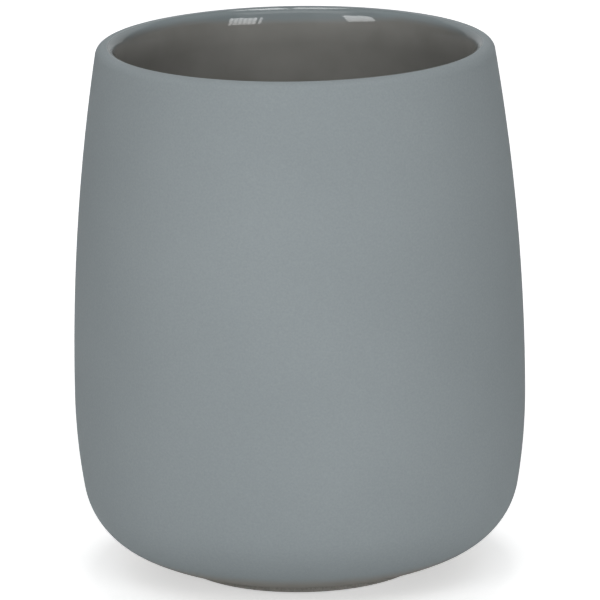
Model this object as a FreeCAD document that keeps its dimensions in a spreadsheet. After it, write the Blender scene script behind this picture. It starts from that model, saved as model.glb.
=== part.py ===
import FreeCAD, Part
import math
import os
import Sketcher

# Bathroom tumbler: a slip-cast stoneware cup with a matte glaze outside, a gloss glaze inside and a
# non-slip pad glued into the recess of its foot. +Z runs up the axis of the cup, and the origin is the
# middle of the pad's underside, on which the tumbler rests.

# Driving dimensions in millimetres
SIZES = {
    "height": 100.0,             # resting plane to the top of the lip
    "widest_diameter": 85.0,
    "widest_height": 33.5,       # resting plane to the widest ring
    "crest_setback": 7.1,        # top of the lip, inward from the widest ring
    "belly_radius": 110.0,       # arc from the widest ring down to the heel
    "heel_radius": 14.8,         # tight arc that turns the side under
    "underside_radius": 33.0,    # shallow arc from the heel to the foot
    "underside_setback": 24.5,   # where the underside comes level, inward from the widest ring
    "foot_setback": 19.1,        # outer wall of the foot ring, inward from the widest ring
    "foot_height": 0.85,         # foot ring below the level of the underside
    "foot_ring_width": 3.6,
    "foot_edge_radius": 0.4,
    "wall_thickness": 4.8,       # both glazes included
    "lip_taper": 1.2,            # wall thickness less lip thickness
    "mouth_radius": 12.0,        # arc that leads from the lip to the inner wall
    "glaze_thickness": 0.3,
    "glaze_line_depth": 1.7,     # top of the lip down to the line where the glazes meet
    "pad_thickness": 1.8,
    "adhesive_thickness": 0.2,
    "pad_proud": 0.4,            # pad below the foot ring
    "pad_clearance": 0.4,        # gap between the pad and the wall of its recess
}

# Lengths that follow from them, as formulas in the names of the sheet
WIDEST_RADIUS = "Sizes.widest_diameter / 2"
LIP_RADIUS = "(Sizes.wall_thickness - Sizes.lip_taper) / 2"
CREST_RADIUS = f"{WIDEST_RADIUS} - Sizes.crest_setback"
CREST_LEVEL = f"Sizes.height - {LIP_RADIUS}"
UNDERSIDE_CENTRE_RADIUS = f"{WIDEST_RADIUS} - Sizes.underside_setback"
UNDERSIDE_CENTRE_LEVEL = "Sizes.pad_proud + Sizes.foot_height + Sizes.underside_radius"
INNER_RADIUS = f"{WIDEST_RADIUS} - Sizes.wall_thickness"
GLAZE_LINE_LEVEL = "Sizes.height - Sizes.glaze_line_depth"
FOOT_RADIUS = f"{WIDEST_RADIUS} - Sizes.foot_setback"
FOOT_LEVEL = "Sizes.pad_proud"
RECESS_RADIUS = f"{FOOT_RADIUS} - Sizes.foot_ring_width"
RECESS_LEVEL = "Sizes.pad_thickness + Sizes.adhesive_thickness"
PAD_RADIUS = f"{RECESS_RADIUS} - Sizes.pad_clearance"

# Arcs of the glazed surface in the order they meet, from the foot over the lip and down to the floor
OUTER_ARCS = ("underside", "heel", "belly", "wall", "crest", "mouth")
INNER_ARCS = ("inner_wall", "inner_belly", "inner_heel", "bowl")
ALL_ARCS = OUTER_ARCS + INNER_ARCS

# The outer arc that each inner arc shares its centre with
SAME_CENTRE = {"inner_wall": "wall", "inner_belly": "belly", "inner_heel": "heel", "bowl": "underside"}

# The points of a sketch element are numbered from 1 up, and a sketch's own axes from -1 down
START, END, CENTRE = range(1, 4)
LEVEL_AXIS, UPRIGHT_AXIS = range(-1, -3, -1)
ORIGIN = (LEVEL_AXIS, START)

# The share of a length by which two levels may differ and still count as one
SAME_LEVEL_SHARE = 1e-6

doc = FreeCAD.newDocument("BathroomTumbler")
sheet = doc.addObject("Spreadsheet::Sheet", "Sizes")
for row, (name, size) in enumerate(SIZES.items(), start=1):
    sheet.set(f"A{row}", name)
    sheet.set(f"B{row}", str(size))
    sheet.setAlias(f"B{row}", name)
doc.recompute()


def length(formula):
    """The value of a formula in the names of the sheet."""
    return float(sheet.evalExpression(formula))


def lower_crossing(centre_a, radius_a, centre_b, radius_b):
    """The lower of the two points that lie at two given distances from two centres."""
    span = centre_b - centre_a
    along = (radius_a**2 - radius_b**2 + span.Length**2) / (2 * span.Length)
    aside = math.sqrt(radius_a**2 - along**2)
    forward = FreeCAD.Vector(span).normalize()
    across = FreeCAD.Vector(-forward.y, forward.x, 0)
    between = centre_a + forward * along
    return min(between + across * aside, between - across * aside, key=lambda point: point.y)


def heading(start, end):
    """The angle of the line from one point to another."""
    return math.atan2(end.y - start.y, end.x - start.x)


def glazed_surface():
    """Centre, radius and two end angles of each arc of the glazed surface, which the sketches start from."""
    widest = length(WIDEST_RADIUS)
    level = length("Sizes.widest_height")
    lip = length(LIP_RADIUS)
    belly = length("Sizes.belly_radius")
    heel = length("Sizes.heel_radius")
    underside = length("Sizes.underside_radius")
    mouth = length("Sizes.mouth_radius")
    thickness = length("Sizes.wall_thickness")

    crest_centre = FreeCAD.Vector(length(CREST_RADIUS), length(CREST_LEVEL), 0)
    setback = widest - crest_centre.x
    rise = crest_centre.y - level
    wall = (setback**2 + rise**2 - lip**2) / (2 * (setback - lip))
    wall_centre = FreeCAD.Vector(widest - wall, level, 0)
    belly_centre = FreeCAD.Vector(widest - belly, level, 0)
    underside_centre = FreeCAD.Vector(length(UNDERSIDE_CENTRE_RADIUS), length(UNDERSIDE_CENTRE_LEVEL), 0)
    heel_centre = lower_crossing(belly_centre, belly - heel, underside_centre, underside - heel)
    mouth_centre = lower_crossing(crest_centre, mouth - lip, wall_centre, wall - thickness + mouth)

    foot_angle = -math.acos((length(FOOT_RADIUS) - underside_centre.x) / underside)
    heel_angle = heading(underside_centre, heel_centre)
    belly_angle = heading(belly_centre, heel_centre)
    lip_angle = heading(wall_centre, crest_centre)
    mouth_angle = heading(mouth_centre, crest_centre)
    throat_angle = heading(wall_centre, mouth_centre)
    return {
        "underside": (underside_centre, underside, foot_angle, heel_angle),
        "heel": (heel_centre, heel, heel_angle, belly_angle),
        "belly": (belly_centre, belly, belly_angle, 0),
        "wall": (wall_centre, wall, 0, lip_angle),
        "crest": (crest_centre, lip, lip_angle, mouth_angle),
        "mouth": (mouth_centre, mouth, mouth_angle, math.pi + throat_angle),
        "inner_wall": (wall_centre, wall - thickness, 0, throat_angle),
        "inner_belly": (belly_centre, belly - thickness, belly_angle, 0),
        "inner_heel": (heel_centre, heel - thickness, heel_angle, belly_angle),
        "bowl": (underside_centre, underside - thickness, -math.pi / 2, heel_angle),
    }


def bind(sketch, kind, geometry, formula):
    """Adds a dimension to a sketch and ties it to a formula in the names of the sheet."""
    index = sketch.addConstraint(Sketcher.Constraint(kind, *geometry, length(formula)))
    sketch.setExpression(f"Constraints[{index}]", formula)


def place(sketch, element, position, across=None, up=None):
    """Sets how far a point lies from the axis and above the resting plane."""
    if across:
        bind(sketch, "DistanceX", (*ORIGIN, element, position), across)
    if up:
        bind(sketch, "DistanceY", (*ORIGIN, element, position), up)


def tie(sketch, kind, *geometry):
    """Adds a constraint that has no size."""
    sketch.addConstraint(Sketcher.Constraint(kind, *geometry))


def arc_exit(name):
    """The end at which the surface leaves an arc, on its way from the foot to the floor."""
    return END if name in OUTER_ARCS else START


def arc_entry(name):
    """The end at which the surface comes to an arc, on its way from the foot to the floor."""
    return START if name in OUTER_ARCS else END


def draw_arcs(sketch, names, inset, construction):
    """Draws a run of the surface's arcs, moved into the wall by an inset, each tangent to the next."""
    arcs = {}
    for name in names:
        centre, radius, start, end = SURFACE[name]
        moved = radius - inset if name in OUTER_ARCS else radius + inset
        circle = Part.Circle(centre, FreeCAD.Vector(0, 0, 1), moved)
        arcs[name] = sketch.addGeometry(Part.ArcOfCircle(circle, start, end), construction)
    for first, second in zip(names, names[1:]):
        tie(sketch, "Tangent", arcs[first], arc_exit(first), arcs[second], arc_entry(second))
    return arcs


def draw_line(sketch, start, end):
    """Draws a line between two points of elements that the sketch already has."""
    points = [sketch.getPoint(*start), sketch.getPoint(*end)]
    line = sketch.addGeometry(Part.LineSegment(*points), False)
    tie(sketch, "Coincident", line, START, *start)
    tie(sketch, "Coincident", line, END, *end)
    return line


def draw_floor(sketch, bowl):
    """Draws the level floor from the end of the bowl's arc to the axis."""
    edge = sketch.getPoint(bowl, START)
    middle = FreeCAD.Vector(0, edge.y, 0)
    floor = sketch.addGeometry(Part.LineSegment(edge, middle), False)
    tie(sketch, "Tangent", bowl, START, floor, START)
    tie(sketch, "Horizontal", floor)
    tie(sketch, "PointOnObject", floor, END, UPRIGHT_AXIS)
    return floor


def profile_sketch(body):
    """Makes a body's sketch on its XZ plane, with the whole glazed surface as construction lines."""
    sketch = body.newObject("Sketcher::SketchObject", body.Name + "_profile")
    plane = next(feature for feature in body.Origin.OriginFeatures if feature.Role == "XZ_Plane")
    sketch.AttachmentSupport = [(plane, "")]
    sketch.MapMode = "FlatFace"
    guide = draw_arcs(sketch, ALL_ARCS, 0, True)
    place(sketch, guide["underside"], START, across=FOOT_RADIUS)
    place(sketch, guide["underside"], CENTRE, UNDERSIDE_CENTRE_RADIUS, UNDERSIDE_CENTRE_LEVEL)
    bind(sketch, "Radius", (guide["underside"],), "Sizes.underside_radius")
    bind(sketch, "Radius", (guide["heel"],), "Sizes.heel_radius")
    bind(sketch, "Radius", (guide["belly"],), "Sizes.belly_radius")
    place(sketch, guide["belly"], CENTRE, up="Sizes.widest_height")
    place(sketch, guide["belly"], END, WIDEST_RADIUS, "Sizes.widest_height")
    place(sketch, guide["crest"], CENTRE, CREST_RADIUS, CREST_LEVEL)
    bind(sketch, "Radius", (guide["crest"],), LIP_RADIUS)
    bind(sketch, "Radius", (guide["mouth"],), "Sizes.mouth_radius")
    for inner, outer in SAME_CENTRE.items():
        tie(sketch, "Coincident", guide[inner], CENTRE, guide[outer], CENTRE)
    place(sketch, guide["inner_wall"], START, across=INNER_RADIUS)
    place(sketch, guide["bowl"], START, across=UNDERSIDE_CENTRE_RADIUS)
    return sketch, guide


def draw_skin(sketch, guide, names, inset_name=None):
    """Draws a run of arcs on the glazed surface, or one named inset below it, round the guide's centres."""
    inset = length(f"Sizes.{inset_name}") if inset_name else 0
    arcs = draw_arcs(sketch, names, inset, False)
    for name in names:
        tie(sketch, "Coincident", arcs[name], CENTRE, guide[name], CENTRE)
    if "belly" in names:
        shift = f" - Sizes.{inset_name}" if inset_name else ""
        place(sketch, arcs["belly"], END, across=WIDEST_RADIUS + shift)
    else:
        shift = f" + Sizes.{inset_name}" if inset_name else ""
        place(sketch, arcs["inner_wall"], START, across=INNER_RADIUS + shift)
    return arcs


def draw_glaze_end(sketch, surface_mouth, clay_mouth, end):
    """Closes a glaze at the line where the two glazes meet, square to the surface."""
    line = draw_line(sketch, (surface_mouth, end), (clay_mouth, end))
    tie(sketch, "PointOnObject", surface_mouth, CENTRE, line)
    place(sketch, surface_mouth, end, up=GLAZE_LINE_LEVEL)


def turn(body, sketch):
    """Turns a body's profile once round the axis of the cup."""
    feature = body.newObject("PartDesign::Revolution", body.Name + "_turn")
    feature.Profile = sketch
    feature.ReferenceAxis = (sketch, ["V_Axis"])
    doc.recompute()
    return feature


def new_body(label):
    """Starts the body of a sub-part."""
    body = doc.addObject("PartDesign::Body", label)
    body.Label = label
    return body


def stoneware_body():
    """The fired clay: the cup less its glazes, with a bare foot ring and a recess for the pad."""
    body = new_body("stoneware_body")
    sketch, guide = profile_sketch(body)
    arcs = draw_skin(sketch, guide, ALL_ARCS, "glaze_thickness")
    floor = draw_floor(sketch, arcs["bowl"])

    foot = length(FOOT_RADIUS)
    foot_level = length(FOOT_LEVEL)
    recess = length(RECESS_RADIUS)
    recess_level = length(RECESS_LEVEL)
    corners = [
        sketch.getPoint(floor, END),
        FreeCAD.Vector(0, recess_level, 0),
        FreeCAD.Vector(recess, recess_level, 0),
        FreeCAD.Vector(recess, foot_level, 0),
        FreeCAD.Vector(foot, foot_level, 0),
        sketch.getPoint(arcs["underside"], START),
    ]
    lines = [sketch.addGeometry(Part.LineSegment(*ends), False) for ends in zip(corners, corners[1:])]
    axis, ceiling, recess_wall, foot_base, foot_wall = lines
    tie(sketch, "Coincident", floor, END, axis, START)
    for first, second in zip(lines, lines[1:]):
        tie(sketch, "Coincident", first, END, second, START)
    tie(sketch, "Coincident", foot_wall, END, arcs["underside"], START)
    for line in (axis, recess_wall, foot_wall):
        tie(sketch, "Vertical", line)
    for line in (ceiling, foot_base):
        tie(sketch, "Horizontal", line)
    place(sketch, recess_wall, START, RECESS_RADIUS, RECESS_LEVEL)
    place(sketch, foot_wall, START, FOOT_RADIUS, FOOT_LEVEL)
    cup = turn(body, sketch)

    edges = []
    for number, edge in enumerate(cup.Shape.Edges, start=1):
        if isinstance(edge.Curve, Part.Circle):
            if abs(edge.Curve.Center.z - foot_level) < SAME_LEVEL_SHARE * foot:
                edges.append(f"Edge{number}")
    rounding = body.newObject("PartDesign::Fillet", "foot_rounding")
    rounding.Base = (cup, edges)
    rounding.setExpression("Radius", "Sizes.foot_edge_radius")
    return body


def outer_matte_glaze():
    """The matte glaze, from the foot ring up the outside and over the lip."""
    body = new_body("outer_matte_glaze")
    sketch, guide = profile_sketch(body)
    surface = draw_skin(sketch, guide, OUTER_ARCS)
    clay = draw_skin(sketch, guide, OUTER_ARCS, "glaze_thickness")
    foot_end = draw_line(sketch, (surface["underside"], START), (clay["underside"], START))
    tie(sketch, "Vertical", foot_end)
    place(sketch, surface["underside"], START, across=FOOT_RADIUS)
    draw_glaze_end(sketch, surface["mouth"], clay["mouth"], END)
    turn(body, sketch)
    return body


def inner_gloss_glaze():
    """The gloss glaze, from the line below the lip down the inside and over the floor."""
    body = new_body("inner_gloss_glaze")
    sketch, guide = profile_sketch(body)
    arcs = ("mouth", *INNER_ARCS)
    surface = draw_skin(sketch, guide, arcs)
    clay = draw_skin(sketch, guide, arcs, "glaze_thickness")
    draw_glaze_end(sketch, surface["mouth"], clay["mouth"], START)
    surface_floor = draw_floor(sketch, surface["bowl"])
    clay_floor = draw_floor(sketch, clay["bowl"])
    draw_line(sketch, (surface_floor, END), (clay_floor, END))
    turn(body, sketch)
    return body


def disc(label, thickness_name):
    """A round piece that fits the recess in the foot, standing on its own XY plane."""
    body = new_body(label)
    sketch = body.newObject("Sketcher::SketchObject", label + "_profile")
    plane = next(feature for feature in body.Origin.OriginFeatures if feature.Role == "XY_Plane")
    sketch.AttachmentSupport = [(plane, "")]
    sketch.MapMode = "FlatFace"
    circle = Part.Circle(FreeCAD.Vector(0, 0, 0), FreeCAD.Vector(0, 0, 1), length(PAD_RADIUS))
    rim = sketch.addGeometry(circle, False)
    tie(sketch, "Coincident", rim, CENTRE, *ORIGIN)
    bind(sketch, "Radius", (rim,), PAD_RADIUS)
    feature = body.newObject("PartDesign::Pad", label + "_thickness")
    feature.Profile = sketch
    feature.setExpression("Length", f"Sizes.{thickness_name}")
    return body


SURFACE = glazed_surface()
pad = disc("non_slip_pad", "pad_thickness")
adhesive = disc("pad_adhesive", "adhesive_thickness")
adhesive.setExpression("Placement.Base.z", "Sizes.pad_thickness")
sub_parts = [stoneware_body(), outer_matte_glaze(), inner_gloss_glaze(), pad, adhesive]
doc.recompute()

# Every object must be sound before its solid is written
for item in doc.Objects:
    if "Invalid" in item.State or "Error" in item.State:
        raise RuntimeError(f"{item.Label} did not rebuild: {item.State}")
    if item.isDerivedFrom("Sketcher::SketchObject") and not item.FullyConstrained:
        raise RuntimeError(f"{item.Label} has a line that no size holds")

os.makedirs("parts", exist_ok=True)
for body in sub_parts:
    if body.Shape.isNull() or not body.Shape.isValid() or len(body.Shape.Solids) != 1:
        raise RuntimeError(f"{body.Label} is not one sound solid")
    body.Shape.exportStep(f"parts/{body.Label}.step")
    print(body.Label, round(body.Shape.Volume), "mm3")
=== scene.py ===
import bpy
import math
from mathutils import Matrix, Vector


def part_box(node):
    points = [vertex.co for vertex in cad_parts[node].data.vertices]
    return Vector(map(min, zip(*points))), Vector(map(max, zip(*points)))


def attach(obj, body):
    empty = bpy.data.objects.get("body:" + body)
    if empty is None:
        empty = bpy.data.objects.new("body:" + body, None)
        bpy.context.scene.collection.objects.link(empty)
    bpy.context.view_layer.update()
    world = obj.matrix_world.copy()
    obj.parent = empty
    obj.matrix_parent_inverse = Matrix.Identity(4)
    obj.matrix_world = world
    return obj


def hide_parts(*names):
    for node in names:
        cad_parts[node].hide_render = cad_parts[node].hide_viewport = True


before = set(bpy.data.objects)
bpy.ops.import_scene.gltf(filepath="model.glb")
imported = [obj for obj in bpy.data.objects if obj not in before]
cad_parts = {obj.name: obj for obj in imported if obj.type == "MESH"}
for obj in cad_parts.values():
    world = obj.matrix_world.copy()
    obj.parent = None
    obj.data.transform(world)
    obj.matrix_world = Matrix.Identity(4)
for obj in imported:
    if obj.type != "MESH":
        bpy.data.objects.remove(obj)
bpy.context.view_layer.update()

# Stoneware body. The cup is slip cast in one piece from a warm grey clay and fired hard. Glaze covers
# all of it but the foot ring, which is wiped bare so that it cannot stick to the kiln shelf, and the
# shallow recess inside that ring.
cup_height = 0.1000
widest_radius = 0.0425
widest_level = 0.0335
crest_setback = 0.0071
belly_curve = 0.1100
heel_curve = 0.0148
underside_curve = 0.0330
underside_setback = 0.0245
foot_setback = 0.0191
foot_drop = 0.00085
foot_ring_width = 0.0036
foot_edge = 0.0004
wall_thickness = 0.0048
lip_taper = 0.0012
mouth_curve = 0.0120
glaze_thickness = 0.0003
same_place = glaze_thickness / 100

foot_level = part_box("stoneware_body")[0][2]
recess_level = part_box("pad_adhesive")[1][2]
foot_radius = widest_radius - foot_setback
recess_radius = foot_radius - foot_ring_width
lip_curve = (wall_thickness - lip_taper) / 2


def lower_crossing(first, first_reach, second, second_reach):
    """The lower of the two points that lie at two given distances from two centres."""
    line = second - first
    along = (first_reach**2 - second_reach**2 + line.length_squared) / (2 * line.length)
    aside = math.sqrt(first_reach**2 - along**2)
    forward = line.normalized()
    across = Vector((-forward.y, forward.x))
    middle = first + forward * along
    return min(middle + across * aside, middle - across * aside, key=lambda point: point.y)


def heading(start, end):
    """The angle of the line from one point of the outline to another."""
    return math.atan2(end.y - start.y, end.x - start.x)


crest_centre = Vector((widest_radius - crest_setback, cup_height - lip_curve))
crest_rise = crest_centre.y - widest_level
wall_curve = (crest_setback**2 + crest_rise**2 - lip_curve**2) / (2 * (crest_setback - lip_curve))
wall_centre = Vector((widest_radius - wall_curve, widest_level))
belly_centre = Vector((widest_radius - belly_curve, widest_level))
underside_centre = Vector((widest_radius - underside_setback, foot_level + foot_drop + underside_curve))
heel_centre = lower_crossing(
    belly_centre, belly_curve - heel_curve, underside_centre, underside_curve - heel_curve)
mouth_centre = lower_crossing(
    crest_centre, mouth_curve - lip_curve, wall_centre, wall_curve - wall_thickness + mouth_curve)
heel_angle = heading(underside_centre, heel_centre)
belly_angle = heading(belly_centre, heel_centre)
lip_angle = heading(wall_centre, crest_centre)
mouth_angle = heading(mouth_centre, crest_centre)
throat_angle = heading(wall_centre, mouth_centre)

# Arcs of the glazed surface, each as its centre, its radius, the way its clay lies and its two end angles
inward = -1
outward = 1
cup_arcs = {
    "bowl": (underside_centre, underside_curve - wall_thickness, outward, -math.pi / 2, heel_angle),
    "inner heel": (heel_centre, heel_curve - wall_thickness, outward, heel_angle, belly_angle),
    "inner belly": (belly_centre, belly_curve - wall_thickness, outward, belly_angle, 0),
    "inner wall": (wall_centre, wall_curve - wall_thickness, outward, 0, throat_angle),
    "mouth": (mouth_centre, mouth_curve, inward, math.pi + throat_angle, mouth_angle),
    "crest": (crest_centre, lip_curve, inward, mouth_angle, lip_angle),
    "wall": (wall_centre, wall_curve, inward, lip_angle, 0),
    "belly": (belly_centre, belly_curve, inward, 0, belly_angle),
    "heel": (heel_centre, heel_curve, inward, belly_angle, heel_angle),
    "underside": (underside_centre, underside_curve, inward, heel_angle, -math.pi / 2),
}
inside_arcs = ("bowl", "inner heel", "inner belly", "inner wall")
outside_arcs = ("crest", "wall", "belly", "heel")

# Longest steps along an outline. The seen face of the mouth mirrors the lights, so its steps are shorter.
outline_spacing = 0.0009
mouth_spacing = 0.00015
outline_turn = math.radians(6)


def bend(centre, radius, start, end, spacing=outline_spacing):
    """Points along an arc, close enough together to look round."""
    turn = end - start
    steps = max(2, math.ceil(abs(turn) * radius / spacing), math.ceil(abs(turn) / outline_turn))
    angles = [start + turn * step / steps for step in range(steps + 1)]
    return [centre + radius * Vector((math.cos(angle), math.sin(angle))) for angle in angles]


def cup_arc(name, inset, start=None, end=None):
    """Points along one arc of the cup, moved into the clay by an inset, whole or between two angles."""
    centre, radius, clay_side, first, last = cup_arcs[name]
    start = first if start is None else start
    end = last if end is None else end
    spacing = mouth_spacing if name == "mouth" and not inset else outline_spacing
    return bend(centre, radius + clay_side * inset, start, end, spacing)


def underside_angle(radius, inset):
    """The angle on the underside's arc at a distance from the axis."""
    return -math.acos((radius - underside_centre.x) / (underside_curve - inset))


def join_runs(*runs):
    """One outline from several runs of points, without the points that two runs share."""
    outline = []
    for point in (point for run in runs for point in run):
        if not outline or (point - outline[-1]).length > same_place:
            outline.append(point)
    return outline


def add_node(tree, kind, settings=None, inputs=None):
    """Adds a node to a tree, with its settings, and its inputs as values or as links."""
    node = tree.nodes.new(kind)
    for name, value in (settings or {}).items():
        setattr(node, name, value)
    for name, value in (inputs or {}).items():
        if isinstance(value, bpy.types.NodeSocket):
            tree.links.new(value, node.inputs[name])
        else:
            node.inputs[name].default_value = value
    return node


def math_node(tree, operation, first, second=0.0, third=0.0):
    """The result of one sum in a tree."""
    node = add_node(tree, "ShaderNodeMath", {"operation": operation}, {0: first, 1: second, 2: third})
    return node.outputs[0]


# The tree that turns an outline round the cup's axis, as a potter's wheel or a cast mould makes it round.
# Ripple is how far the fired wall strays from true, in waves of the given length. The flat sheet that is
# bent round lies centred, so half its size is added to count from its edge.
half_sheet = 0.5
noise_middle = 0.5
ripple_detail = 1.0
turning = bpy.data.node_groups.new("turned round the axis", "GeometryNodeTree")
turning.interface.new_socket("Outline", in_out="INPUT", socket_type="NodeSocketGeometry")
turning_inputs = {}
for label, kind in (
        ("Steps round", "NodeSocketInt"),
        ("Ripple", "NodeSocketFloat"),
        ("Ripple length", "NodeSocketFloat"),
        ("Crease angle", "NodeSocketFloat"),
        ("Finish", "NodeSocketMaterial")):
    turning_inputs[label] = turning.interface.new_socket(label, in_out="INPUT", socket_type=kind).identifier
turning.interface.new_socket("Piece", in_out="OUTPUT", socket_type="NodeSocketGeometry")
given = turning.nodes.new("NodeGroupInput").outputs
points = add_node(turning, "GeometryNodeAttributeDomainSize", inputs={"Geometry": given["Outline"]})
seam_steps = math_node(turning, "ADD", given["Steps round"], 1)
sheet = add_node(turning, "GeometryNodeMeshGrid", inputs={
    "Size X": 2 * half_sheet, "Size Y": 2 * half_sheet,
    "Vertices X": points.outputs["Point Count"], "Vertices Y": seam_steps})
place = turning.nodes.new("GeometryNodeInputPosition").outputs["Position"]
place_parts = add_node(turning, "ShaderNodeSeparateXYZ", inputs={"Vector": place}).outputs
along = math_node(turning, "ADD", place_parts["X"], half_sheet)
last_point = math_node(turning, "SUBTRACT", points.outputs["Point Count"], 1)
index = math_node(turning, "ROUND", math_node(turning, "MULTIPLY", along, last_point))
turn = math_node(turning, "MULTIPLY", math_node(turning, "ADD", place_parts["Y"], half_sheet), math.tau)
outline_point = add_node(turning, "GeometryNodeSampleIndex", {"data_type": "FLOAT_VECTOR"}, {
    "Geometry": given["Outline"], "Value": place, "Index": index})
outline_parts = add_node(turning, "ShaderNodeSeparateXYZ", inputs={
    "Vector": outline_point.outputs["Value"]}).outputs
cosine = math_node(turning, "COSINE", turn)
sine = math_node(turning, "SINE", turn)


def turned_point(radius):
    """The place of an outline's point once it is turned, at a given distance from the axis."""
    node = add_node(turning, "ShaderNodeCombineXYZ", inputs={
        "X": math_node(turning, "MULTIPLY", radius, cosine),
        "Y": math_node(turning, "MULTIPLY", radius, sine),
        "Z": outline_parts["Z"]})
    return node.outputs["Vector"]


true_point = turned_point(outline_parts["X"])
waves_per_metre = math_node(turning, "DIVIDE", 1.0, given["Ripple length"])
waves = add_node(turning, "ShaderNodeTexNoise", {"noise_dimensions": "3D"}, {
    "Vector": true_point, "Scale": waves_per_metre, "Detail": ripple_detail})
swing = math_node(turning, "SUBTRACT", waves.outputs[0], noise_middle)
stray = math_node(turning, "MULTIPLY", swing, given["Ripple"])
reach = math_node(turning, "MINIMUM", math_node(turning, "DIVIDE", outline_parts["X"], crest_centre.x), 1.0)
fired_radius = math_node(turning, "MULTIPLY_ADD", stray, reach, outline_parts["X"])
turned = add_node(turning, "GeometryNodeSetPosition", inputs={
    "Geometry": sheet.outputs["Mesh"], "Position": turned_point(fired_radius)})
closed = add_node(turning, "GeometryNodeMergeByDistance", inputs={
    "Geometry": turned.outputs["Geometry"], "Distance": same_place})
crease = turning.nodes.new("GeometryNodeInputMeshEdgeAngle").outputs["Unsigned Angle"]
sharp = add_node(turning, "FunctionNodeCompare", {"data_type": "FLOAT", "operation": "GREATER_THAN"}, {
    0: crease, 1: given["Crease angle"]})
smooth = add_node(turning, "GeometryNodeSetShadeSmooth", {"domain": "FACE"}, {
    "Geometry": closed.outputs["Geometry"], "Shade Smooth": True})
creased = add_node(turning, "GeometryNodeSetShadeSmooth", {"domain": "EDGE"}, {
    "Geometry": smooth.outputs["Geometry"], "Selection": sharp.outputs["Result"], "Shade Smooth": False})
realized = add_node(turning, "GeometryNodeRealizeInstances", inputs={
    "Geometry": creased.outputs["Geometry"]})
finished = add_node(turning, "GeometryNodeSetMaterial", inputs={
    "Geometry": realized.outputs["Geometry"], "Material": given["Finish"]})
add_node(turning, "NodeGroupOutput", inputs={"Piece": finished.outputs["Geometry"]})

steps_round = 256
ripple = 0.00002
ripple_length = 0.016
crease_angle = math.radians(35)


def turn_piece(name, outline, finish):
    """Turns an outline into a named piece of the cup and leaves it as a plain mesh."""
    mesh = bpy.data.meshes.new(name)
    mesh.from_pydata([(point.x, 0, point.y) for point in outline], [], [])
    piece = bpy.data.objects.new(name, mesh)
    bpy.context.scene.collection.objects.link(piece)
    wheel = piece.modifiers.new("turned round the axis", "NODES")
    wheel.node_group = turning
    wheel[turning_inputs["Steps round"]] = steps_round
    wheel[turning_inputs["Ripple"]] = ripple
    wheel[turning_inputs["Ripple length"]] = ripple_length
    wheel[turning_inputs["Crease angle"]] = crease_angle
    wheel[turning_inputs["Finish"]] = finish
    evaluated = piece.evaluated_get(bpy.context.evaluated_depsgraph_get())
    turned_mesh = bpy.data.meshes.new_from_object(evaluated)
    piece.modifiers.remove(wheel)
    piece.data = turned_mesh
    return piece


def new_finish(name):
    """A new material, its node tree and its surface shader."""
    material = bpy.data.materials.new(name)
    material.use_nodes = True
    return material, material.node_tree, material.node_tree.nodes["Principled BSDF"]


def grain(tree, scale, detail=2.0, roughness=0.5):
    """Soft even noise at a scale in waves per metre, fixed to the piece."""
    coordinates = add_node(tree, "ShaderNodeTexCoord").outputs["Object"]
    node = add_node(tree, "ShaderNodeTexNoise", inputs={
        "Vector": coordinates, "Scale": scale, "Detail": detail, "Roughness": roughness})
    return node.outputs[0]


def ramp(tree, factor, stops):
    """Colours that follow a factor, as pairs of a place on the ramp and a colour."""
    node = add_node(tree, "ShaderNodeValToRGB", inputs={"Fac": factor})
    while len(node.color_ramp.elements) < len(stops):
        node.color_ramp.elements.new(0.5)
    for element, (position, colour) in zip(node.color_ramp.elements, stops):
        element.position = position
        element.color = (*colour, 1.0)
    return node.outputs["Color"]


def span(tree, value, low, high, to_low, to_high, interpolation="LINEAR"):
    """A value moved from one span of numbers to another, and held at its ends."""
    node = add_node(tree, "ShaderNodeMapRange", {"interpolation_type": interpolation}, {
        "Value": value, "From Min": low, "From Max": high, "To Min": to_low, "To Max": to_high})
    return node.outputs["Result"]


def relief(tree, height, depth):
    """A bump of a real depth in metres."""
    node = add_node(tree, "ShaderNodeBump", inputs={"Height": height, "Distance": depth, "Strength": 1.0})
    return node.outputs["Normal"]


clay_dark = (0.330, 0.318, 0.290)
clay_mid = (0.420, 0.407, 0.375)
clay_light = (0.490, 0.476, 0.443)
clay_grain_scale = 2400
clay_grain_detail = 4.0
clay_grain_bite = 0.6
clay_pit_depth = 0.00003
clay_pit_roughness = 0.92
clay_top_roughness = 0.78
noise_low = 0.3
noise_high = 0.7

bare_stoneware, clay_tree, clay_surface = new_finish("bare stoneware")
clay_grain = grain(clay_tree, clay_grain_scale, clay_grain_detail, clay_grain_bite)
clay_colour = ramp(clay_tree, clay_grain, ((0.30, clay_dark), (0.48, clay_mid), (0.70, clay_light)))
clay_tree.links.new(clay_colour, clay_surface.inputs["Base Color"])
clay_roughness = span(clay_tree, clay_grain, noise_low, noise_high, clay_pit_roughness, clay_top_roughness)
clay_tree.links.new(clay_roughness, clay_surface.inputs["Roughness"])
clay_tree.links.new(relief(clay_tree, clay_grain, clay_pit_depth), clay_surface.inputs["Normal"])

clay_inside = [cup_arc(name, glaze_thickness) for name in (*inside_arcs, "mouth")]
clay_outside = [cup_arc(name, glaze_thickness) for name in outside_arcs]
clay_underside = cup_arc("underside", glaze_thickness, end=underside_angle(foot_radius, glaze_thickness))
foot_corner = Vector((foot_radius - foot_edge, foot_level + foot_edge))
recess_corner = Vector((recess_radius + foot_edge, foot_level + foot_edge))
stoneware = turn_piece("stoneware_cup", join_runs(
    [Vector((0, clay_inside[0][0].y))], *clay_inside, *clay_outside, clay_underside,
    bend(foot_corner, foot_edge, 0, -math.pi / 2),
    bend(recess_corner, foot_edge, -math.pi / 2, -math.pi),
    [Vector((recess_radius, recess_level)), Vector((0, recess_level))]), bare_stoneware)
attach(stoneware, "root")
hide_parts("stoneware_body")

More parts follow.
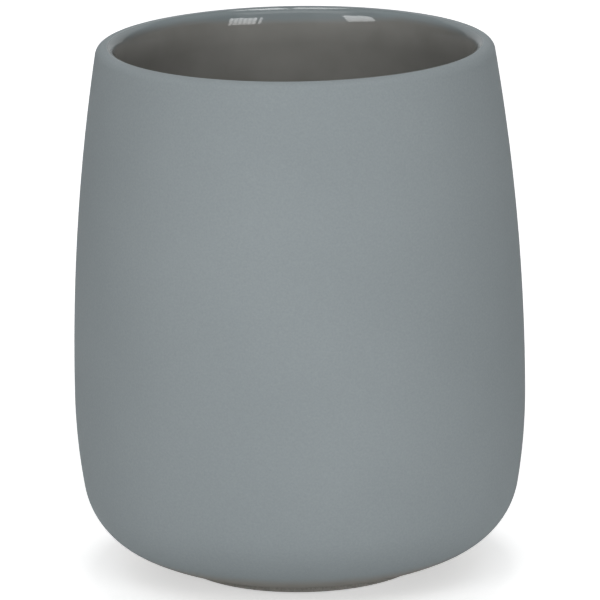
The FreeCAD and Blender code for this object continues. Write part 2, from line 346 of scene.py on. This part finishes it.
# Inner gloss glaze. A warm grey glaze is poured in, swilled round and poured out again, and fires to a
# smooth gloss from just below the lip to the floor. The outer glaze melts into it along a soft line, which
# hangs lower at the back of the cup. There the lip's blue is also painted darker as painted shade, and it
# is lighter at the sides.
glaze_line_depth = 0.0017
glaze_line = cup_height - glaze_line_depth
glaze_line_angle = math.pi - math.asin((glaze_line - mouth_centre.y) / mouth_curve)
fade_depth = 0.0012
fade_level = cup_height - fade_depth
fade_height = 0.0008
fade_wander = 0.0004
fade_wander_scale = 220
# The back of the lip, where the glaze line drops and the lip's blue is painted darker as painted shade.
back_line_dip = 0.0015
back_share_start = 0.0260
back_share_full = 0.0355

taupe_deep = (0.225, 0.222, 0.207)
taupe = (0.250, 0.248, 0.233)
taupe_pale = (0.272, 0.270, 0.254)
# The lip's blue, as a lit copy for the sides and a darker copy with painted shade for the back.
lip_blue = (0.252, 0.290, 0.301)
back_painted_shade_blue = (0.214, 0.248, 0.257)
lip_shine = 0.50
inner_shine = 0.32
gloss_cloud_scale = 90
gloss_cloud_detail = 3.0
gloss_haze_scale = 300
gloss_clear_roughness = 0.04
gloss_hazy_roughness = 0.05


def piece_place(tree):
    """The place on the piece, as its three parts."""
    coordinates = add_node(tree, "ShaderNodeTexCoord").outputs["Object"]
    return add_node(tree, "ShaderNodeSeparateXYZ", inputs={"Vector": coordinates}).outputs


def back_dip_and_painted_shade(tree):
    """The back of the lip, from 0 to 1, where the glaze line hangs lower and the blue has painted shade."""
    return span(tree, piece_place(tree)["Y"], back_share_start, back_share_full, 0.0, 1.0, "SMOOTHSTEP")


def glaze_fade(tree):
    """How far the outer glaze has given way to the inner one: 0 above the line where they meet, 1 below."""
    wander = math_node(tree, "SUBTRACT", grain(tree, fade_wander_scale), noise_middle)
    level = math_node(tree, "MULTIPLY_ADD", wander, fade_wander, piece_place(tree)["Z"])
    level = math_node(tree, "MULTIPLY_ADD", back_dip_and_painted_shade(tree), back_line_dip, level)
    return span(tree, level, fade_level + fade_height, fade_level - fade_height, 0.0, 1.0, "SMOOTHSTEP")


def mixed(tree, factor, first, second):
    """One colour giving way to another."""
    node = add_node(tree, "ShaderNodeMix", {"data_type": "RGBA"}, {0: factor})
    colour_sockets = [socket for socket in node.inputs if socket.type == "RGBA"]
    for socket, colour in zip(colour_sockets, (first, second)):
        if isinstance(colour, bpy.types.NodeSocket):
            tree.links.new(colour, socket)
        else:
            socket.default_value = (*colour, 1.0)
    return next(socket for socket in node.outputs if socket.type == "RGBA")


gloss_glaze, gloss_tree, gloss_surface = new_finish("warm grey gloss glaze")
gloss_clouds = grain(gloss_tree, gloss_cloud_scale, gloss_cloud_detail)
gloss_colour = ramp(gloss_tree, gloss_clouds, ((0.30, taupe_deep), (0.50, taupe), (0.72, taupe_pale)))
gloss_fade = glaze_fade(gloss_tree)
# Painted shade: the lip's blue is darker towards the back of the cup.
gloss_lip_and_shade = mixed(gloss_tree, back_dip_and_painted_shade(gloss_tree), lip_blue, back_painted_shade_blue)
gloss_colour = mixed(gloss_tree, gloss_fade, gloss_lip_and_shade, gloss_colour)
gloss_tree.links.new(gloss_colour, gloss_surface.inputs["Base Color"])
gloss_haze = grain(gloss_tree, gloss_haze_scale)
gloss_roughness = span(
    gloss_tree, gloss_haze, noise_low, noise_high, gloss_clear_roughness, gloss_hazy_roughness)
gloss_tree.links.new(gloss_roughness, gloss_surface.inputs["Roughness"])
gloss_shine = span(gloss_tree, gloss_fade, 0.0, 1.0, lip_shine, inner_shine)
gloss_tree.links.new(gloss_shine, gloss_surface.inputs["Specular IOR Level"])

gloss_face = [cup_arc(name, 0) for name in inside_arcs]
gloss_face.append(cup_arc("mouth", 0, end=glaze_line_angle))
gloss_back = [cup_arc(name, glaze_thickness) for name in inside_arcs]
gloss_back.append(cup_arc("mouth", glaze_thickness, end=glaze_line_angle))
gloss_back_run = join_runs([Vector((0, gloss_back[0][0].y))], *gloss_back)
inner_glaze = turn_piece("inner_gloss_glaze_coat", join_runs(
    [Vector((0, gloss_face[0][0].y))], *gloss_face, gloss_back_run[::-1]), gloss_glaze)
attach(inner_glaze, "root")
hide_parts("inner_gloss_glaze")

# Outer matte glaze. A blue-grey glaze is sprayed on from the foot to just inside the lip. It fires matte,
# but glossy on the inner side of the lip. It is wiped back round the foot, where it thins to taupe and ends
# in a small rolled edge.
foot_wipe = 0.00045
foot_fade_top = 0.0074
foot_fade_end = 0.0046
foot_fade_wander = 0.0008
lip_gloss_start = 0.0002
lip_gloss_full = 0.0007
outer_shine = 0.10
outer_roughness = 0.80
lip_roughness = 0.05
thin_glaze = (0.300, 0.292, 0.268)
blue_deep = (0.284, 0.320, 0.333)
blue = (0.304, 0.341, 0.355)
blue_pale = (0.325, 0.363, 0.377)
matte_grain_scale = 2600
matte_grain_detail = 3.0
matte_grain_bite = 0.55
matte_grain_depth = 0.000012
matte_grain_share = 0.6
matte_cloud_scale = 28
matte_cloud_share = 0.4

matte_glaze, matte_tree, matte_surface = new_finish("blue-grey matte glaze")
matte_grain = grain(matte_tree, matte_grain_scale, matte_grain_detail, matte_grain_bite)
matte_clouds = grain(matte_tree, matte_cloud_scale)
matte_cloud_shade = math_node(matte_tree, "MULTIPLY", matte_clouds, matte_cloud_share)
matte_shade = math_node(matte_tree, "MULTIPLY_ADD", matte_grain, matte_grain_share, matte_cloud_shade)
matte_colour = ramp(matte_tree, matte_shade, ((0.32, blue_deep), (0.50, blue), (0.68, blue_pale)))
matte_parts = piece_place(matte_tree)
matte_flat = add_node(matte_tree, "ShaderNodeCombineXYZ", inputs={
    "X": matte_parts["X"], "Y": matte_parts["Y"]})
matte_radius = add_node(matte_tree, "ShaderNodeVectorMath", {"operation": "LENGTH"}, {
    0: matte_flat.outputs["Vector"]}).outputs["Value"]
upper_half = math_node(matte_tree, "GREATER_THAN", matte_parts["Z"], widest_level)
gloss_start_radius = crest_centre.x - lip_gloss_start
gloss_full_radius = crest_centre.x - lip_gloss_full
inner_side = span(matte_tree, matte_radius, gloss_start_radius, gloss_full_radius, 0.0, 1.0, "SMOOTHSTEP")
inside_lip = math_node(matte_tree, "MULTIPLY", upper_half, inner_side)
# Painted shade: the lip's blue is darker towards the back of the cup.
matte_lip_and_shade = mixed(matte_tree, back_dip_and_painted_shade(matte_tree), lip_blue, back_painted_shade_blue)
matte_colour = mixed(matte_tree, inside_lip, matte_colour, matte_lip_and_shade)
line_share = math_node(matte_tree, "MULTIPLY", glaze_fade(matte_tree), inside_lip)
matte_colour = mixed(matte_tree, line_share, matte_colour, taupe)
foot_wander = math_node(matte_tree, "SUBTRACT", grain(matte_tree, fade_wander_scale), noise_middle)
foot_height = math_node(matte_tree, "MULTIPLY_ADD", foot_wander, foot_fade_wander, matte_parts["Z"])
foot_share = span(matte_tree, foot_height, foot_fade_top, foot_fade_end, 0.0, 1.0, "SMOOTHSTEP")
matte_colour = mixed(matte_tree, foot_share, matte_colour, thin_glaze)
matte_tree.links.new(matte_colour, matte_surface.inputs["Base Color"])
matte_shine = span(matte_tree, inside_lip, 0.0, 1.0, outer_shine, lip_shine)
matte_shine = math_node(matte_tree, "MULTIPLY_ADD", line_share, inner_shine - lip_shine, matte_shine)
matte_tree.links.new(matte_shine, matte_surface.inputs["Specular IOR Level"])
matte_roughness = span(matte_tree, inside_lip, 0.0, 1.0, outer_roughness, lip_roughness)
matte_tree.links.new(matte_roughness, matte_surface.inputs["Roughness"])
outside_lip = math_node(matte_tree, "SUBTRACT", 1.0, inside_lip)
matte_relief = math_node(matte_tree, "MULTIPLY", matte_grain, outside_lip)
matte_tree.links.new(relief(matte_tree, matte_relief, matte_grain_depth), matte_surface.inputs["Normal"])

foot_roll_radius = foot_radius + foot_wipe
foot_roll_angle = underside_angle(foot_roll_radius + glaze_thickness, 0)
matte_face = [cup_arc("mouth", 0, start=glaze_line_angle)]
matte_face += [cup_arc(name, 0) for name in outside_arcs]
matte_face.append(cup_arc("underside", 0, end=foot_roll_angle))
roll_centre = underside_centre + (underside_curve - glaze_thickness) * Vector(
    (math.cos(foot_roll_angle), math.sin(foot_roll_angle)))
matte_roll = bend(roll_centre, glaze_thickness, foot_roll_angle, foot_roll_angle - math.pi / 2)
matte_back = [cup_arc("mouth", glaze_thickness, start=glaze_line_angle)]
matte_back += [cup_arc(name, glaze_thickness) for name in outside_arcs]
matte_back.append(cup_arc("underside", glaze_thickness, end=foot_roll_angle))
outer_glaze = turn_piece("outer_matte_glaze_coat", join_runs(
    *matte_face, matte_roll, join_runs(*matte_back)[::-1], matte_face[0][:1]), matte_glaze)
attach(outer_glaze, "root")
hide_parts("outer_matte_glaze")

# Pad adhesive. A film of clear acrylic adhesive, rolled onto the back of the pad, holds it to the clay in
# the recess of the foot.
film_clear = (0.62, 0.61, 0.56)
film_cloudy = (0.74, 0.73, 0.69)
film_cloud_scale = 350
film_cloud_detail = 3.0
film_clear_roughness = 0.30
film_cloudy_roughness = 0.45

adhesive_film, film_tree, film_surface = new_finish("acrylic adhesive film")
film_clouds = grain(film_tree, film_cloud_scale, film_cloud_detail)
film_colour = ramp(film_tree, film_clouds, ((0.35, film_clear), (0.65, film_cloudy)))
film_tree.links.new(film_colour, film_surface.inputs["Base Color"])
film_roughness = span(
    film_tree, film_clouds, noise_low, noise_high, film_clear_roughness, film_cloudy_roughness)
film_tree.links.new(film_roughness, film_surface.inputs["Roughness"])
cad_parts["pad_adhesive"].data.materials.clear()
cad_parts["pad_adhesive"].data.materials.append(adhesive_film)

# Non-slip pad. A disc die cut from closed-cell foam rubber sits in the recess of the foot and stands a
# little proud of the clay, so that the cup rests on it and not on the hard ring.
pad_low, pad_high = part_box("non_slip_pad")
pad_clearance = 0.0004
pad_radius = recess_radius - pad_clearance
pad_edge = 0.00025
foam_dark = (0.165, 0.165, 0.162)
foam_light = (0.245, 0.244, 0.238)
foam_cell_scale = 1700
foam_cell_depth = 0.00005
foam_cell_middle = 0.1
foam_cell_rim = 0.7
foam_middle_roughness = 0.95
foam_rim_roughness = 0.80

foam_rubber, foam_tree, foam_surface = new_finish("closed-cell foam rubber")
foam_place = add_node(foam_tree, "ShaderNodeTexCoord").outputs["Object"]
foam_cells = add_node(foam_tree, "ShaderNodeTexVoronoi", {"feature": "F1"}, {
    "Vector": foam_place, "Scale": foam_cell_scale}).outputs["Distance"]
foam_colour = ramp(foam_tree, foam_cells, ((0.15, foam_dark), (0.65, foam_light)))
foam_tree.links.new(foam_colour, foam_surface.inputs["Base Color"])
foam_roughness = span(
    foam_tree, foam_cells, foam_cell_middle, foam_cell_rim, foam_middle_roughness, foam_rim_roughness)
foam_tree.links.new(foam_roughness, foam_surface.inputs["Roughness"])
foam_tree.links.new(relief(foam_tree, foam_cells, foam_cell_depth), foam_surface.inputs["Normal"])

pad_corner = Vector((pad_radius - pad_edge, pad_low[2] + pad_edge))
pad = turn_piece("foam_rubber_pad", join_runs(
    [Vector((0, pad_high[2])), Vector((pad_radius, pad_high[2]))],
    bend(pad_corner, pad_edge, 0, -math.pi / 2), [Vector((0, pad_low[2]))]), foam_rubber)
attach(pad, "root")
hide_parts("non_slip_pad")

# Floor. A plain white table top, wide enough to fill the view, which takes the cup's shadow. It glows a
# little where it is seen or mirrored, so that it shows as white.
floor_half = 4.0
floor_white = (0.94, 0.94, 0.94, 1.0)
floor_roughness = 0.9
floor_lift = 0.50

white_floor, floor_tree, floor_surface = new_finish("white table")
floor_surface.inputs["Base Color"].default_value = floor_white
floor_surface.inputs["Roughness"].default_value = floor_roughness
floor_surface.inputs["Specular IOR Level"].default_value = 0.0
floor_rays = add_node(floor_tree, "ShaderNodeLightPath").outputs
floor_mirrored = math_node(
    floor_tree, "MAXIMUM", floor_rays["Is Glossy Ray"], floor_rays["Is Transmission Ray"])
floor_seen = math_node(floor_tree, "MAXIMUM", floor_rays["Is Camera Ray"], floor_mirrored)
floor_surface.inputs["Emission Color"].default_value = (1.0, 1.0, 1.0, 1.0)
floor_glow = math_node(floor_tree, "MULTIPLY", floor_seen, floor_lift)
floor_tree.links.new(floor_glow, floor_surface.inputs["Emission Strength"])

floor_mesh = bpy.data.meshes.new("table_top")
floor_corners = [
    (-floor_half, -floor_half, 0), (floor_half, -floor_half, 0),
    (floor_half, floor_half, 0), (-floor_half, floor_half, 0)]
floor_mesh.from_pydata(floor_corners, [], [(0, 1, 2, 3)])
floor_mesh.materials.append(white_floor)
floor = bpy.data.objects.new("table_top", floor_mesh)
bpy.context.scene.collection.objects.link(floor)

# Lights. Two soft boxes stand low in front of the cup and show in the gloss inside the rim: the right one
# has brighter slats over a plain sheet, and the left one leans. A pair hangs overhead, and plain screens
# stand in front, above, at the left and behind. The studio is dark otherwise.
dark_studio = bpy.data.worlds.new("dark studio")
dark_studio.use_nodes = True
dark_studio.node_tree.nodes["Background"].inputs["Strength"].default_value = 0.0
bpy.context.scene.world = dark_studio

light_target = Vector((0, 0, 0.06))


def soft_box(name, side_angle, height_angle, distance, width, height, level, lean=0.0, mirrored=True):
    """A soft box that faces the cup, placed by its angles to the right of the camera and above the table.

    Angles are in degrees. Level is how bright it makes a white surface that faces it, where 1 is full
    white. Mirrored says whether it shows in the gloss."""
    lamp = bpy.data.lights.new(name, "AREA")
    lamp.shape = "RECTANGLE"
    lamp.size = width
    lamp.size_y = height
    lamp.energy = level * math.pi**2 * distance**2
    box = bpy.data.objects.new(name, lamp)
    side, rise = math.radians(side_angle), math.radians(height_angle)
    direction = Vector((math.sin(side) * math.cos(rise), -math.cos(side) * math.cos(rise), math.sin(rise)))
    facing = direction.to_track_quat("Z", "Y").to_matrix() @ Matrix.Rotation(math.radians(lean), 3, "Z")
    box.matrix_world = Matrix.Translation(light_target + direction * distance) @ facing.to_4x4()
    box.visible_camera = False
    box.visible_glossy = mirrored
    bpy.context.scene.collection.objects.link(box)


box_distance = 1.2
slat_height = 0.255
slat_count = 6
slat_pitch = 3.25
slat_first_side = 27.0
soft_box(
    "right soft box", side_angle=35.1, height_angle=18.4,
    distance=box_distance, width=0.378, height=slat_height, level=0.085, lean=3.5)
for slat in range(slat_count):
    soft_box(
        "right soft box slat", side_angle=slat_first_side + slat_pitch * slat, height_angle=18.3,
        distance=box_distance, width=0.044, height=slat_height, level=0.0088, lean=6)
soft_box(
    "right soft box end slat", side_angle=22.9, height_angle=18.1,
    distance=box_distance, width=0.036, height=slat_height, level=0.0119, lean=6)

# The left soft box, as strips side by side from its near end to its far end
strip_count = 8
strip_width = 0.046
strip_level_per_metre = 0.069444
near_side, far_side = -34.2, -54.1
near_rise, far_rise = 20.45, 21.60
near_height, far_height = 0.237, 0.197
near_lean, far_lean = -15.4, -20.3


def between(near, far, share):
    """The value at a share of the way from the near end to the far end."""
    return near + (far - near) * share


for strip in range(strip_count):
    share = (strip + 0.5) / strip_count
    strip_height = between(near_height, far_height, share)
    soft_box(
        "left soft box strip", side_angle=between(near_side, far_side, share),
        height_angle=between(near_rise, far_rise, share), distance=box_distance,
        width=strip_width, height=strip_height, level=strip_level_per_metre * strip_height,
        lean=between(near_lean, far_lean, share))

# The other lights, each as its name, its angles to the right of the camera and above the table, its
# distance, its width and height, its level, its lean and whether it shows in the gloss
other_lights = (
    ("overhead right soft box", 161, 72.2, 1.4, 0.20, 0.63, 0.12, 16, True),
    ("overhead left soft box", -165.5, 72.5, 1.4, 0.22, 0.63, 0.115, -12, True),
    ("top screen", 0, 88, 2.5, 3.0, 3.0, 0.12, 0, True),
    ("front screen", 0, 32, 3.0, 4.0, 2.2, 0.175, 0, True),
    ("low front screen", 0, 12, 3.0, 2.0, 1.0, 0.11, 0, False),
    ("high front screen", 0, 58, 2.5, 2.5, 1.4, 0.22, 0, True),
    ("left screen", -42, 22, 3.0, 3.0, 2.0, 0.05, 0, True),
    ("back screen", 180, 24, 3.0, 5.0, 2.4, 0.185, 0, True),
    ("low back screen", 180, 12, 3.0, 1.6, 1.0, 0.30, 0, False),
)
for light in other_lights:
    soft_box(*light)

# Camera. It stands a little above the rim, almost a metre away with a long lens, and leans by just under a
# degree. Its angles are in radians.
camera_distance = 0.9565
camera_height_angle = 0.2502
camera_target = Vector((0.000233, 0, 0.0506467))
camera_lean = 0.0148
pixels_per_metre = 5317.0
frame_pixels = 600

lens = bpy.data.cameras.new("product camera")
lens.sensor_width = 36.0
lens.lens = pixels_per_metre * camera_distance / frame_pixels * lens.sensor_width
lens.clip_start = 0.01
lens.clip_end = 20.0
camera = bpy.data.objects.new("product camera", lens)
back = Vector((0, -math.cos(camera_height_angle), math.sin(camera_height_angle)))
right = Vector((1, 0, 0))
up = back.cross(right)
leaning_right = right * math.cos(camera_lean) - up * math.sin(camera_lean)
leaning_up = up * math.cos(camera_lean) + right * math.sin(camera_lean)
turned_axes = Matrix((leaning_right, leaning_up, back)).transposed().to_4x4()
camera.matrix_world = Matrix.Translation(camera_target + back * camera_distance) @ turned_axes
bpy.context.scene.collection.objects.link(camera)
bpy.context.scene.camera = camera
bpy.context.scene.view_settings.view_transform = "Standard"
